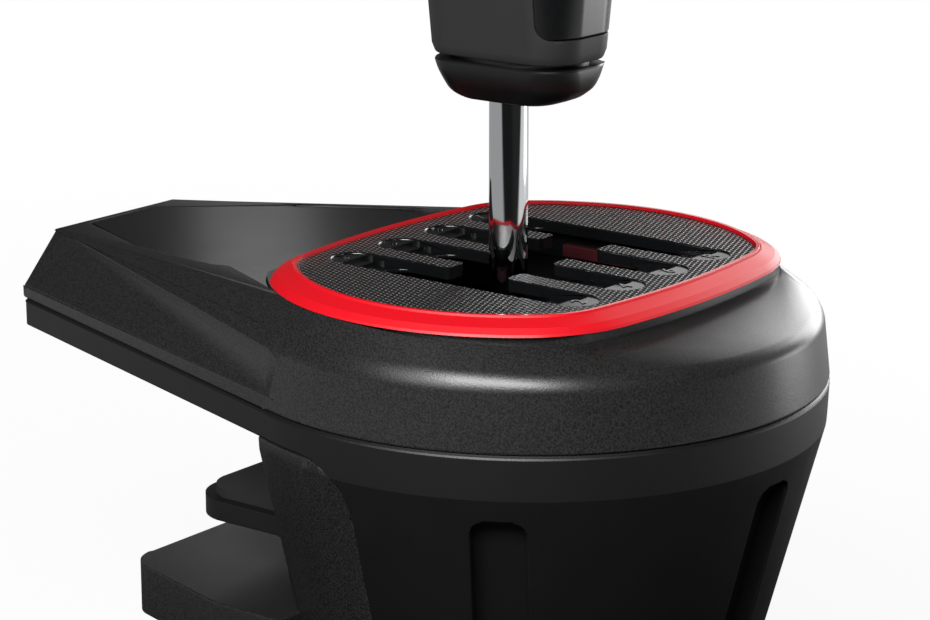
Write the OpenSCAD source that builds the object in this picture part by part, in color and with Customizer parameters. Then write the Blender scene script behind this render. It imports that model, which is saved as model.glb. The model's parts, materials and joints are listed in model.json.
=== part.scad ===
// Clamp-on gear shifter with an H-pattern gate. Millimetres, +Z up, +Y forward along the tongue,
// -Y towards the driver, origin at the middle of the flat base on the bucket's axis.

/* [Gate] */
// Diameter of the lever rod
rod_d = 10; // [9:0.5:11]
// Distance between two gear columns
gate_pitch = 19.6; // [18.6:0.2:20.6]
// Room beside the rod in a gear slot
slot_clear = 1.3; // [1.2:0.1:1.8]
// Travel of the rod at the gate from neutral into a gear
throw = 18.5; // [15:0.5:19.5]
// Room past the rod at the end of a gear slot
end_clear = 2.2; // [2:0.1:3]
// Room beside the rod in the neutral channel
neutral_clear = 4; // [3:0.5:5]
// Thickness of the gate plate
plate_t = 3.2; // [3:0.2:4]
// Height of the gate plate's top above the base
plate_h = 160; // [158:1:170]
// Width of the plate outside the outer gear columns
plate_margin = 33; // [31.8:0.3:34.2]
// Half depth of the plate, front to back
plate_half = 47.5; // [46.5:0.5:49.5]
// Bow radius of the plate's front and back edges
plate_bow = 230; // [190:10:270]
// Radius of the plate's round sides
side_r = 56; // [54:0.5:58]
// Shift of the plate along the tongue
plate_shift = 0.5; // [0:0.5:2]
// Corner radius of the finger tips
finger_round = 1.6; // [1:0.2:2.4]
// Depth of a number pad's upper level
pad_depth = 0.4; // [0.3:0.1:0.6]
// Drop of each of a pad's two steps towards its slot
pad_step = 0.9; // [0.7:0.05:1]
// Length of a number pad past its slot
pad_len = 15.5; // [13:0.5:16]
// Width of the trim ring
ring_w = 7.5; // [6:0.5:8]
// Height of the ring's inner lip above the plate
ring_lip = 0.7; // [0.4:0.1:1]
// Depth of the dust tray below the plate
tray_depth = 11; // [9:0.5:13]

/* [Casing] */
// Width of the casing beside the plate's round sides, down to the parting line
casing_margin = 15.4; // [14.4:0.2:16.4]
// Height of the plate's top above the parting line
crown_h = 29.5; // [28:0.5:31]
// Depth of the tongue's tray, from the parting line down to the clamp seat
tongue_tray = 8; // [7:0.5:9]
// Wall of the casings
wall = 3; // [2.4:0.2:3.4]
// Reach of the tongue from the bucket's axis
tongue_reach = 156; // [145:1:165]
// Taper of the tongue's lower sides, each side
tongue_taper = 17.8; // [17:0.1:19]
// Taper of the shoulder's flanks, each side
flank_taper = 23.7; // [23.1:0.2:25.1]
// Reach of the flanks where they run out
flank_reach = 105; // [98:1:110]
// Height of the upright band above the parting line
band_h = 3.8; // [3:0.2:5]
// Width of the sloped side facets, seen from above
facet_in = 9.2; // [8:0.2:10]
// Drop of the tongue's top edge at its end below the plate's top
tongue_drop = 9.9; // [9:0.1:11]
// Drop of the shoulder edge below the plate's top
shoulder_drop = 12; // [11:0.5:13.5]
// Drop of the shoulder below the ring on the driver's side
front_drop = 3.1; // [2:0.1:4]
// Radius of the bucket's foot
base_r = 46.5; // [45.5:0.5:48]
// Drop of the lip's lower edge below the clamp seat
lip_drop = 5.5; // [4.5:0.5:6.5]
// Width of the bucket's grip pockets
pocket_w = 13.5; // [11:0.5:15]
// Depth of the pockets
pocket_d = 5; // [3.5:0.5:6]
// Gap between the lip and the top of the pockets
pocket_gap = 4; // [3:0.5:9]
// Height of the bottom of the pockets
pocket_bottom = 34; // [30:1:44]
// Thickness of the glossy tongue panel
panel_t = 2; // [1.6:0.1:2.4]

/* [Clamp] */
// Distance of the flat back from the bucket's axis
back_y = 33; // [32:0.5:34]
// Thickness of the clamp frame's back wall
spine_t = 6; // [5:0.5:7]
// Opening that the clamp is set to
grip_t = 29.5; // [26:0.5:31]
// Reach of the lower arm from the bucket's axis
arm_reach = 95; // [92:1:98]
// Half width of the lower arm
arm_half = 64.5; // [62:0.5:66]
// Taper of the arm's sides towards its end, each side
arm_taper = 15.5; // [13:0.5:18]
// Drop of the arm's top below the clamp seat
arm_drop = 51; // [50:0.5:52]
// Thickness of the arm
arm_t = 14; // [12:0.5:15]
// Distance of the clamp screw from the bucket's axis
screw_y = 62; // [60:0.5:63]
// Outer diameter of the clamp screw's thread
screw_d = 10; // [9:0.5:11]
// Travel of the shoe from its set height up to its stop
close_travel = 21; // [18:1:22]
// Diameter of the handwheel
wheel_d = 46; // [40:1:48]
// Height of the handwheel
wheel_h = 16; // [13:0.5:17]
// Thickness of the shoe plate
shoe_t = 5.5; // [5:0.5:6.5]
// Thickness of the rubber pads
pad_t = 2.5; // [2:0.1:3]

/* [Lever] */
// Height of the lever's pivot
pivot_h = 55; // [53:0.5:57]
// Diameter of the select shafts
shaft_d = 8; // [7:0.5:9]
// Diameter of the engage pin
pin_d = 6; // [5:0.5:6.5]
// Radius of the lever's hub
hub_r = 9; // [8:0.5:9.5]
// Height of the knob's underside above the gate plate
knob_gap = 43; // [40:0.5:50]
// Height of the knob's collar
collar_h = 11; // [9:0.5:12]
// Height of the whole knob
knob_h = 86.5; // [78:0.5:92]
// Depth of the knob above its collar, front to back
knob_y = 44; // [41:0.5:46]
// Width of the knob above its collar
knob_x = 27; // [25:0.5:29]
// Shift of the knob towards the driver
knob_shift = 3; // [1:0.5:4]

/* [Base] */
// Thickness of the base plate
base_t = 4; // [3.5:0.5:5]
// Distance between the mounting inserts, side to side
base_pitch_x = 56; // [54:0.5:57]
// Distance between the mounting inserts, front to back
base_pitch_y = 40; // [38:0.5:40]
// Bore of the mounting inserts
insert_bore = 5; // [4.2:0.1:5.2]

/* [Fits] */
// Running clearance of shafts and pins, radial
run_clear = 0.05; // [0.03:0.01:0.08]
// Clearance between fixed pieces
fix_clear = 0.1; // [0.05:0.05:0.2]
// Gap between pieces that slide past each other
free_gap = 0.4; // [0.3:0.1:0.6]

/* [Hidden] */
$fn = 72;

charcoal = "#2b2c2e";
black = "#161718";
gloss_black = "#0c0d0e";
red = "#d8141c";
chrome = "#c9ccd1";
steel = "#9aa0a6";
brass = "#b08d3c";
rubber = "#1c1c1c";
board_green = "#1e5a38";
far = 400;
skin = 0.02;

plate_r = 1.5 * gate_pitch + plate_margin;
body_r = plate_r + casing_margin;
parting_h = plate_h - crown_h;
seat_h = parting_h - tongue_tray;
lip_h = seat_h - lip_drop;
shoulder_h = plate_h - shoulder_drop;
tongue_top_h = plate_h - tongue_drop;
pocket_top = lip_h - pocket_gap;
arm_h = seat_h - arm_drop;

slot_w = rod_d + 2 * slot_clear;
slot_reach = throw + rod_d / 2 + end_clear;
neutral_half = rod_d / 2 + neutral_clear;
finger_w = gate_pitch - slot_w;
pad_w = slot_w - 0.6;
step_at = [0.62, 0.375];
step_round = 2;
columns = [for (i = [0:3]) (i - 1.5) * gate_pitch];
lever_x = columns[1];
casing_top = plate_h - plate_t;
ceiling_t = 4;
window_x = 1.5 * gate_pitch + slot_w / 2 + 4;
window_y = slot_reach + 5;
tray_wall = 1.6;
tray_flange = 4.2;
gate_boss = [for (sx = [-1, 1], sy = [-1, 1]) [sx * (window_x - 6), sy * (window_y + 7.4)]];
boss_r = 3.2;
boss_clear = 0.3;
screw_r = 1.5;

lower_r = body_r - 0.3;
lip_r = body_r - 1;
bucket_taper = atan2(lip_r - base_r, lip_h);
band_top = parting_h + band_h;
panel_y = plate_shift + plate_half + ring_w - 2;
panel_z = casing_top - 1.2;
panel_slope = atan2(panel_z - tongue_top_h, tongue_reach - 6 - panel_y);
end_in = 6;
apex_x = (body_r - 0.6 - flank_reach * sin(flank_taper)) / cos(flank_taper);
tray_floor = 5;
case_boss = [for (a = [20, 160, 215, 325]) [(body_r - 15) * cos(a), (body_r - 15) * sin(a)]];
case_boss_r = 4.5;

seam_y = -1;
seam_r = 14;
shoe_top = seat_h - grip_t;
shoe_low = shoe_top - pad_t - shoe_t;
shoe_half = arm_half - 20;
shoe_y0 = back_y + 5;
shoe_y1 = arm_reach - 13;
wheel_top = arm_h - arm_t - close_travel - 1;
tip_r = 3.5;
tip_len = shoe_t - 1.5;
groove_h = 1.2;

ear_t = 5;
ear_back = 20;
ear_front = -40;
cradle_x = 23;
cradle_y = 18;
cradle_z = 8;
cradle_wall = 7;
hub_half = 11;
frame_z = 28;
frame_t = 4;
post_pitch = 14;
board_t = 1.6;
magnet_r = 4;
magnet_t = 4;
rod_top = plate_h + knob_gap + knob_h * 0.55;

knob_low = plate_h + knob_gap;
groove_z = knob_low + collar_h;
knob_top = knob_low + knob_h;
panel_low = groove_z + 7.2;
panel_high = knob_top - 13;
insert_r = 8;

socket_r = 6.5;
socket_x = 33;
socket_z = 31;
control_z = 20;

// Radius of the bucket's outside at a height
function bucket_r(z) = lip_r - (lip_h - z) * tan(bucket_taper);
// Half width of a tongue outline of radius r and taper a at a distance y from the axis
function side_x(r, a, y) = (r - y * sin(a)) / cos(a);
// Height of the glossy panel's top
function panel_height(y) = panel_z - (y - panel_y) * tan(panel_slope);

// Tapering tongue of a round body of radius r, seen from above, its root a little inside the body
module tongue_shape(r, reach) {
    root = (r - 0.3) * [cos(tongue_taper), sin(tongue_taper)];
    end_x = side_x(r, tongue_taper, reach);
    polygon([root, [end_x, reach], [-end_x, reach], [-root[0], root[1]]]);
}

// Gate plate outline, round at the sides and bowed at front and back
module gate_outline(grow = 0) {
    translate([0, plate_shift]) intersection() {
        union() for (s = [-1, 1]) translate([s * (plate_r - side_r), 0]) circle(side_r + grow);
        translate([0, plate_bow - plate_half]) circle(plate_bow + grow);
        translate([0, plate_half - plate_bow]) circle(plate_bow + grow);
    }
}

// Rectangle with round corners about the origin
module round_rect(x, y, r) {
    square([x - 2 * r, y], center = true);
    square([x, y - 2 * r], center = true);
    for (sx = [-1, 1], sy = [-1, 1]) translate([sx * (x / 2 - r), sy * (y / 2 - r)]) circle(r);
}

// Slot with round ends along Y
module slot_shape(w, half) {
    square([w, 2 * half - w], center = true);
    for (s = [-1, 1]) translate([0, s * (half - w / 2)]) circle(w / 2);
}

// Gear slots and neutral channel, with the corners of the finger tips rounded
module gate_slots() {
    for (x = columns) translate([x, 0]) slot_shape(slot_w, slot_reach);
    difference() {
        square([3 * gate_pitch, 2 * (neutral_half + finger_round)], center = true);
        for (i = [0:2], s = [-1, 1])
            translate([columns[i] + gate_pitch / 2, s * (neutral_half + 2 * finger_round)])
                round_rect(finger_w, 4 * finger_round, finger_round);
    }
}

// Sunken number pad of the slot in the middle of the gate: its outer level and two steps down to the slot
module number_pad() {
    root = slot_reach - slot_w / 2;
    translate([0, root + pad_len / 2, plate_h - pad_depth]) linear_extrude(5)
        slot_shape(pad_w, (pad_len + pad_w) / 2);
    for (i = [0, 1]) {
        len = slot_w / 2 + pad_len * step_at[i];
        translate([0, root + len / 2, plate_h - pad_depth - (i + 1) * pad_step]) linear_extrude(5)
            round_rect(pad_w, len, step_round);
    }
}

// Cylinder along Y from y0 to y1
module bar_y(r, y0, y1) {
    translate([0, y0, 0]) rotate([-90, 0, 0]) cylinder(r = r, h = y1 - y0);
}

// Cylinder along X from x0 to x1
module bar_x(r, x0, x1) {
    translate([x0, 0, 0]) rotate([0, 90, 0]) cylinder(r = r, h = x1 - x0);
}

// Pan-head screw standing on z = 0, head below, shank upwards
module screw_up(r, len, head_r, head_h) {
    translate([0, 0, -head_h]) cylinder(r = head_r, h = head_h);
    cylinder(r = r, h = len);
}

// Half space towards the driver from y
module driver_side(y) {
    translate([-far, -2 * far + y, -far]) cube([2 * far, 2 * far, 3 * far]);
}

// Flanks, shoulder and tongue top of the upper casing as one convex form
module casing_crown() {
    top_grow = ring_w - 0.6;
    hinge_y = 10;
    tilt = atan2(front_drop, plate_half + ring_w - plate_shift + hinge_y);
    hull() {
        for (p = [[body_r, parting_h], [body_r - 0.5, shoulder_h - 6], [body_r - 1.1, shoulder_h - 1.5],
                [body_r - 2, shoulder_h]])
            translate([0, 0, p[1] - (p[1] == parting_h ? 0 : skin)]) cylinder(r = p[0], h = skin, $fn = 120);
        for (z = [band_top, shoulder_h + 1.4]) translate([0, 0, z - skin]) linear_extrude(skin)
            polygon([[-apex_x, flank_reach], [apex_x, flank_reach], [0, flank_reach - 1]]);
        translate([0, 0, casing_top - skin]) linear_extrude(skin) intersection() {
            gate_outline(top_grow);
            translate([-far, hinge_y]) square([2 * far, far]);
        }
        translate([0, hinge_y, casing_top]) rotate([tilt, 0, 0]) translate([0, -hinge_y, -skin])
            linear_extrude(skin) intersection() {
                gate_outline(top_grow);
                translate([-far, hinge_y - far]) square([2 * far, far]);
            }
        translate([0, panel_y, panel_z]) rotate([-panel_slope, 0, 0]) translate([0, -panel_y, -skin])
            linear_extrude(skin) intersection() {
                panel_outline();
                translate([-far, panel_y]) square([2 * far, far]);
            }
        translate([0, 0, tongue_top_h - skin]) linear_extrude(skin)
            translate([-tongue_end_half(), tongue_reach - end_in - 1]) square([2 * tongue_end_half(), 1]);
    }
}

// Half width of the tongue's top edge at its end
function tongue_end_half() = side_x(body_r, tongue_taper, tongue_reach) - facet_in * 0.86;

// Sloped side facets of the tongue, between the upright band and the top edge
module tongue_wedge() {
    y0 = body_r * sin(tongue_taper);
    lo = [side_x(body_r, tongue_taper, y0) - 0.2, side_x(body_r, tongue_taper, tongue_reach)];
    shrink = facet_in / cos(tongue_taper);
    y1 = tongue_reach - end_in;
    hi = [lo[0] - shrink, side_x(body_r, tongue_taper, y1) - shrink];
    zb = band_top - 1;
    polyhedron(
        points = [[lo[0], y0, zb], [lo[1], tongue_reach, zb], [-lo[1], tongue_reach, zb], [-lo[0], y0, zb],
            [lo[0], y0, band_top], [lo[1], tongue_reach, band_top],
            [-lo[1], tongue_reach, band_top], [-lo[0], y0, band_top],
            [hi[0], y0, tongue_top_h], [hi[1], y1, tongue_top_h],
            [-hi[1], y1, tongue_top_h], [-hi[0], y0, tongue_top_h]],
        faces = [[0, 1, 2, 3], [0, 4, 5, 1], [1, 5, 6, 2], [2, 6, 7, 3], [3, 7, 4, 0],
            [4, 8, 9], [4, 9, 5], [5, 9, 10], [5, 10, 6], [6, 10, 11], [6, 11, 7], [7, 11, 8], [7, 8, 4],
            [8, 11, 10, 9]]);
}

// Glossy panel on the tongue, seen from above
module panel_outline(grow = 0) {
    w0 = tongue_end_half() - 11 + grow;
    w1 = apex_x - 6 + grow;
    w2 = apex_x + 4 + grow;
    y_end = tongue_reach - end_in - 3 + grow;
    difference() {
        polygon([[-w0, y_end], [w0, y_end], [w1, flank_reach + 4], [w2, flank_reach - 32],
            [w2, flank_reach - 38], [w2 + 18, flank_reach - 72], [-w2 - 18, flank_reach - 72],
            [-w2, flank_reach - 38], [-w2, flank_reach - 32], [-w1, flank_reach + 4]]);
        gate_outline(ring_w + fix_clear - grow);
    }
}

// Layer under the panel's sloped top, from depth d0 down to depth d1
module panel_layer(d0, d1, grow) {
    intersection() {
        translate([0, 0, shoulder_h - 10]) linear_extrude(30) panel_outline(grow);
        translate([0, panel_y, panel_z]) rotate([-panel_slope, 0, 0])
            translate([-far, -far, -d1]) cube([2 * far, 2 * far, d1 - d0]);
    }
}

module upper_casing() {
    color(charcoal) difference() {
        union() {
            casing_crown();
            tongue_wedge();
            translate([0, 0, parting_h]) linear_extrude(band_h - 0.5) tongue_shape(body_r, tongue_reach);
            translate([0, 0, shoulder_h]) linear_extrude(casing_top - shoulder_h) gate_outline(ring_w - 2);
        }
        translate([0, 0, parting_h - 1]) cylinder(r = body_r - wall - 1.5, h = shoulder_h - 4 - parting_h + 1);
        translate([0, 0, parting_h]) cylinder(r = body_r - 17, h = shoulder_h + 1 - parting_h);
        translate([0, 0, parting_h - 1]) linear_extrude(band_h - 0.3)
            tongue_shape(body_r - wall, tongue_reach - wall);
        translate([0, 0, parting_h - 1]) linear_extrude(tongue_top_h - 4 - parting_h)
            tongue_shape(body_r - wall - facet_in, tongue_reach - wall - facet_in);
        translate([0, 0, casing_top - ceiling_t - 20]) linear_extrude(20) gate_outline(-1);
        translate([0, 0, casing_top - ceiling_t - 1]) linear_extrude(ceiling_t + 2)
            square([2 * (window_x + tray_wall + fix_clear), 2 * (window_y + tray_wall + fix_clear)],
                center = true);
        for (p = gate_boss) translate([p[0], p[1], casing_top - ceiling_t - 1])
            cylinder(r = boss_r + boss_clear, h = ceiling_t + 2);
        panel_layer(-20, panel_t + fix_clear, fix_clear);
    }
    color(charcoal) for (p = case_boss) difference() {
        translate([p[0], p[1], parting_h]) cylinder(r = case_boss_r, h = shoulder_h - 2 - parting_h);
        translate([p[0], p[1], parting_h - 1]) cylinder(r = screw_r + fix_clear, h = 12);
    }
}

// Bucket and lip below the parting line, seen in section
module bucket_solid() {
    rotate_extrude() polygon([[0, 0], [bucket_r(0), 0], [lip_r, lip_h], [lower_r - 0.2, lip_h + 2],
        [lower_r, seat_h], [lower_r, parting_h], [0, parting_h]]);
}

// Hollow of the bucket in front of the clamp frame's back wall
module bucket_hollow() {
    rotate_extrude() polygon([[0, base_t - 1], [bucket_r(base_t - 1) - wall, base_t - 1],
        [lip_r - wall, lip_h], [lower_r - wall, seat_h], [lower_r - wall, parting_h + 1],
        [0, parting_h + 1]]);
}

// Side region that belongs to the clamp frame, with its rounded upper corner
module frame_region(grow = 0) {
    rotate([90, 0, 90]) translate([0, 0, -far]) linear_extrude(2 * far) {
        translate([seam_y - grow, -1]) square([far, seat_h - seam_r + 1]);
        translate([seam_y + seam_r, -1]) square([far, seat_h + 1]);
        translate([seam_y + seam_r, seat_h - seam_r]) circle(seam_r + grow);
    }
}

// Places a grip pocket's outline on the bucket's wall
module on_bucket(a) {
    mid = (pocket_top + pocket_bottom) / 2;
    rotate([0, 0, a]) translate([bucket_r(mid), 0, mid]) rotate([0, bucket_taper, 0]) children();
}

// Upright recess with round corners, from depth d below the wall outwards
module pocket_cut(d, w, len, r) {
    translate([-d, 0, 0]) rotate([90, 0, 90]) linear_extrude(d + 10) round_rect(w, len, r);
}

pocket_len = (pocket_top - pocket_bottom) / cos(bucket_taper);
pocket_angles = [for (a = [-59.5, 0, 59.5]) a - 90];

module lower_casing() {
    pocket_skin = 2;
    color(black) difference() {
        union() {
            difference() {
                union() {
                    intersection() {
                        bucket_solid();
                        union() {
                            driver_side(back_y);
                            translate([-far, -far, seat_h]) cube(2 * far);
                        }
                    }
                    translate([0, 0, seat_h]) linear_extrude(parting_h - seat_h)
                        tongue_shape(lower_r, tongue_reach - 0.3);
                }
                intersection() {
                    bucket_hollow();
                    union() {
                        driver_side(back_y - spine_t);
                        translate([-far, -far, seat_h + tray_floor]) cube(2 * far);
                    }
                }
                translate([0, 0, seat_h + tray_floor]) linear_extrude(parting_h - seat_h)
                    tongue_shape(lower_r - wall - 0.5, tongue_reach - 0.3 - wall);
            }
            intersection() {
                bucket_solid();
                for (a = pocket_angles) on_bucket(a)
                    pocket_cut(pocket_d + pocket_skin, pocket_w + 2 * pocket_skin,
                        pocket_len + 2 * pocket_skin, 4);
            }
            for (p = case_boss) translate([p[0], p[1], seat_h]) {
                cylinder(r = case_boss_r, h = parting_h - seat_h);
                rotate([0, 0, atan2(p[1], p[0])]) translate([3, -1.5, 1])
                    cube([12.5 - wall, 3, parting_h - seat_h - 2]);
            }
            for (p = frame_screw_at) translate([p[0], p[1], seat_h]) {
                cylinder(r = frame_boss_r, h = tray_floor);
                translate([-frame_boss_r, 0, 0]) cube([2 * frame_boss_r, frame_boss_in + 1, tray_floor]);
            }
            base_bosses();
        }
        frame_region();
        for (a = pocket_angles) on_bucket(a) pocket_cut(pocket_d, pocket_w, pocket_len, 3);
        for (p = case_boss) translate([p[0], p[1], seat_h - 1]) cylinder(r = screw_r + fix_clear, h = 40);
        for (p = frame_screw_at) translate([p[0], p[1], seat_h - 1])
            cylinder(r = screw_r + fix_clear, h = tray_floor + 0.2);
        base_bores();
        seat_recess(fix_clear);
    }
}

// Three screws hold the base plate to the bucket and two hold it to the clamp frame
base_screw_at = [for (a = [-160, -90, -20, 22, 158])
    [(bucket_r(base_t) - 6) * cos(a), (bucket_r(base_t) - 6) * sin(a)]];
base_boss_h = 12;

// Bosses inside the bucket's foot for the base screws
module base_bosses() {
    for (p = base_screw_at) intersection() {
        translate([p[0], p[1], base_t]) cylinder(r = 4.5, h = base_boss_h);
        bucket_solid();
    }
}

// Screw bores of those bosses, and the room of the base plate
module base_bores() {
    for (p = base_screw_at) translate([p[0], p[1], -1]) cylinder(r = screw_r + fix_clear, h = base_boss_h + 3);
    translate([-far, -far, -far]) cube([2 * far, 2 * far, far + base_t]);
}

seat_w = 44;
seat_round = 8;
seat_y0 = back_y + seat_round;
seat_y1 = tongue_reach - 2 * seat_round;
seat_proud = 0.3;

// Rubber pad of the clamp seat, seen from above
module seat_outline(grow) {
    translate([0, (seat_y0 + seat_y1) / 2])
        round_rect(seat_w + 2 * grow, seat_y1 - seat_y0 + 2 * grow, seat_round + grow);
}

// Recess in the clamp seat that the pad lies in
module seat_recess(grow) {
    translate([0, 0, seat_h - 1]) linear_extrude(1 + pad_t - seat_proud) seat_outline(grow);
}

module seat_pad() {
    color(rubber) translate([0, 0, seat_h - seat_proud]) linear_extrude(pad_t) seat_outline(0);
}

module tongue_panel() {
    color(gloss_black) panel_layer(0, panel_t, 0);
}

// Ring section turned about the middle of an arc of radius r
module ring_turned(r) {
    rotate_extrude() polygon([[0, casing_top], [r + ring_w, casing_top], [r + ring_w, casing_top + 0.6],
        [r + ring_w - 2, plate_h - 1.3], [r + 1.7, plate_h + 0.2], [r + 1.4, plate_h],
        [r + 1.2, plate_h + ring_lip], [0, plate_h + ring_lip]]);
}

module trim_ring() {
    color(red) difference() {
        translate([0, plate_shift, 0]) intersection() {
            union() for (s = [-1, 1]) translate([s * (plate_r - side_r), 0, 0]) ring_turned(side_r);
            translate([0, plate_bow - plate_half, 0]) ring_turned(plate_bow);
            translate([0, plate_half - plate_bow, 0]) ring_turned(plate_bow);
        }
        translate([0, 0, casing_top - 1]) linear_extrude(plate_t + 5) gate_outline(fix_clear);
    }
}

module gate_plate() {
    color(black) difference() {
        union() {
            translate([0, 0, casing_top]) linear_extrude(plate_t) gate_outline();
            for (p = gate_boss) translate([p[0], p[1], casing_top - ceiling_t]) cylinder(r = boss_r, h = ceiling_t);
        }
        translate([0, 0, casing_top - 1]) linear_extrude(plate_t + 2) gate_slots();
        for (x = columns, turn = [0, 180]) translate([x, 0, 0]) rotate([0, 0, turn]) number_pad();
        for (p = gate_boss) translate([p[0], p[1], casing_top - ceiling_t - 1])
            cylinder(r = screw_r + fix_clear / 2, h = ceiling_t + 2.2);
    }
}

// Dust tray that hangs in the casing's window and keeps dirt out of the works
module gate_tray() {
    color(gloss_black) difference() {
        union() {
            translate([0, 0, plate_h - tray_depth]) linear_extrude(tray_depth - plate_t - fix_clear)
                square([2 * (window_x + tray_wall), 2 * (window_y + tray_wall)], center = true);
            for (p = gate_boss) translate([p[0], p[1], tray_flange_z]) {
                cylinder(r = tray_flange, h = flange_t);
                translate([-tray_flange, p[1] > 0 ? -(p[1] - window_y) : 0, 0])
                    cube([2 * tray_flange, abs(p[1]) - window_y, flange_t]);
            }
        }
        translate([0, 0, plate_h - tray_depth - 1]) linear_extrude(tray_depth + 2)
            square([2 * window_x, 2 * window_y], center = true);
        for (p = gate_boss) translate([p[0], p[1], tray_flange_z - 1]) cylinder(r = screw_r + fix_clear, h = 8);
    }
}

flange_t = 2.4;
tray_flange_z = casing_top - ceiling_t - flange_t;

// Soft stops on the tray's two end walls, level with the rod in the neutral channel
module gate_buffers() {
    color(red) for (s = [-1, 1]) scale([s, 1, 1])
        translate([window_x - 2, -neutral_half - 8, plate_h - tray_depth + 1]) cube([2, 2 * neutral_half + 16, 3.4]);
}

module gate_screws() {
    color(steel) for (p = gate_boss) translate([p[0], p[1], tray_flange_z])
        screw_up(screw_r, flange_t + ceiling_t + 0.8, 2.8, 2);
}

module case_screws() {
    color(steel) for (p = case_boss) translate([p[0], p[1], seat_h])
        screw_up(screw_r, parting_h - seat_h + 10, 2.9, 2.2);
}

// Lower arm of the clamp, seen from above: past a corner its sides taper to a rounded end
module arm_outline() {
    r = 10;
    corner_y = back_y + 22;
    end_y = arm_reach - r;
    end_x = arm_half - (r + sin(arm_taper) * (end_y - corner_y)) / cos(arm_taper);
    touch = [end_x + r * cos(arm_taper), end_y + r * sin(arm_taper)];
    polygon([[-arm_half, back_y - spine_t], [arm_half, back_y - spine_t], [arm_half, corner_y], touch,
        [end_x, arm_reach], [-end_x, arm_reach], [-touch[0], touch[1]], [-arm_half, corner_y]]);
    for (s = [-1, 1]) translate([s * end_x, end_y]) circle(r);
}

nut_r = screw_d / 2 + 4;
nut_flange_r = nut_r + 4;
nut_flange_t = 3;

module clamp_frame() {
    color(charcoal) difference() {
        union() {
            intersection() {
                union() {
                    difference() {
                        intersection() {
                            bucket_solid();
                            driver_side(back_y);
                        }
                        intersection() {
                            bucket_hollow();
                            driver_side(back_y - spine_t);
                        }
                    }
                    base_bosses();
                }
                frame_region();
            }
            intersection() {
                translate([0, 0, arm_h - arm_t]) linear_extrude(arm_t) arm_outline();
                union() {
                    translate([-far, back_y - 1, 0]) cube([2 * far, far, far]);
                    intersection() {
                        bucket_solid();
                        driver_side(back_y);
                    }
                }
            }
            for (s = [-1, 1]) translate([s * 30 - 3, back_y - 1, arm_h - arm_t - 12]) rotate([90, 0, 90])
                linear_extrude(6) polygon([[0, 0], [40, 12], [40, 13], [0, 13]]);
            for (p = frame_screw_at) translate([p[0], p[1], seat_h - frame_boss_h]) {
                cylinder(r = frame_boss_r, h = frame_boss_h);
                translate([-frame_boss_r, 0, 0]) cube([2 * frame_boss_r, frame_boss_in + 1, frame_boss_h]);
            }
        }
        translate([0, screw_y, arm_h - arm_t - 1]) cylinder(r = nut_r + fix_clear, h = arm_t + 2);
        translate([0, screw_y, arm_h - arm_t - 1]) cylinder(r = nut_flange_r + fix_clear, h = nut_flange_t + 1);
        translate([socket_x, 0, socket_z]) bar_y(socket_r + fix_clear, back_y - spine_t - 1, back_y + 1);
        for (p = frame_screw_at) translate([p[0], p[1], seat_h - frame_boss_h - 1])
            cylinder(r = screw_r + fix_clear, h = frame_boss_h + 2);
        base_bores();
    }
}

// Screws that hold the clamp frame's top to lugs on the lower casing
frame_boss_r = 4.5;
frame_boss_in = 5;
frame_boss_h = 10;
frame_screw_x = 40;
frame_screw_at = [for (s = [-1, 1]) [s * frame_screw_x, back_y - spine_t - frame_boss_in]];

module frame_screws() {
    color(steel) for (p = frame_screw_at) translate([p[0], p[1], seat_h - frame_boss_h])
        screw_up(screw_r, frame_boss_h + tray_floor - 1.2, 2.8, 2);
}

module clamp_nut() {
    color(brass) translate([0, screw_y, arm_h - arm_t]) difference() {
        union() {
            cylinder(r = nut_r, h = arm_t);
            cylinder(r = nut_flange_r, h = nut_flange_t);
        }
        translate([0, 0, -1]) cylinder(r = screw_d / 2 + run_clear, h = arm_t + 2);
    }
}

insert_at = [for (sx = [-1, 1], sy = [-1, 1]) [sx * base_pitch_x / 2, sy * base_pitch_y / 2]];
insert_len = 12;
insert_od = insert_bore / 2 + 1.6;
pivot_posts = [for (sx = [-1, 1], sy = [-1, 1]) [lever_x + sx * post_pitch, sy * post_pitch]];
control_at = [[socket_x - 13, 6], [socket_x + 3, 6]];

module base_plate() {
    color(black) difference() {
        union() {
            intersection() {
                cylinder(r1 = bucket_r(0), r2 = bucket_r(base_t), h = base_t);
                driver_side(back_y);
            }
            for (p = insert_at) translate([p[0], p[1], 0]) cylinder(r = insert_od + 2, h = insert_len + 2);
            for (p = pivot_posts) translate([p[0], p[1], 0]) cylinder(r = 4, h = frame_z);
            for (p = control_at) translate([p[0], p[1], 0]) cylinder(r = 3, h = control_z);
        }
        for (p = insert_at) translate([p[0], p[1], -1]) cylinder(r = insert_od, h = insert_len + 1);
        for (p = pivot_posts) translate([p[0], p[1], frame_z - 12]) cylinder(r = screw_r + fix_clear, h = 13);
        for (p = control_at) translate([p[0], p[1], control_z - 8]) cylinder(r = 1.1 + fix_clear, h = 9);
        for (p = base_screw_at) translate([p[0], p[1], -1]) {
            cylinder(r = screw_r + fix_clear, h = base_t + 2);
            cylinder(r = 3.2, h = 3);
        }
    }
}

module base_inserts() {
    color(brass) for (p = insert_at) translate([p[0], p[1], 0]) difference() {
        cylinder(r = insert_od, h = insert_len);
        translate([0, 0, -1]) cylinder(d = insert_bore, h = insert_len + 2);
    }
}

module base_screws() {
    color(steel) for (p = base_screw_at) translate([p[0], p[1], 2]) screw_up(screw_r, 11, 2.9, 1.6);
}

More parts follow.
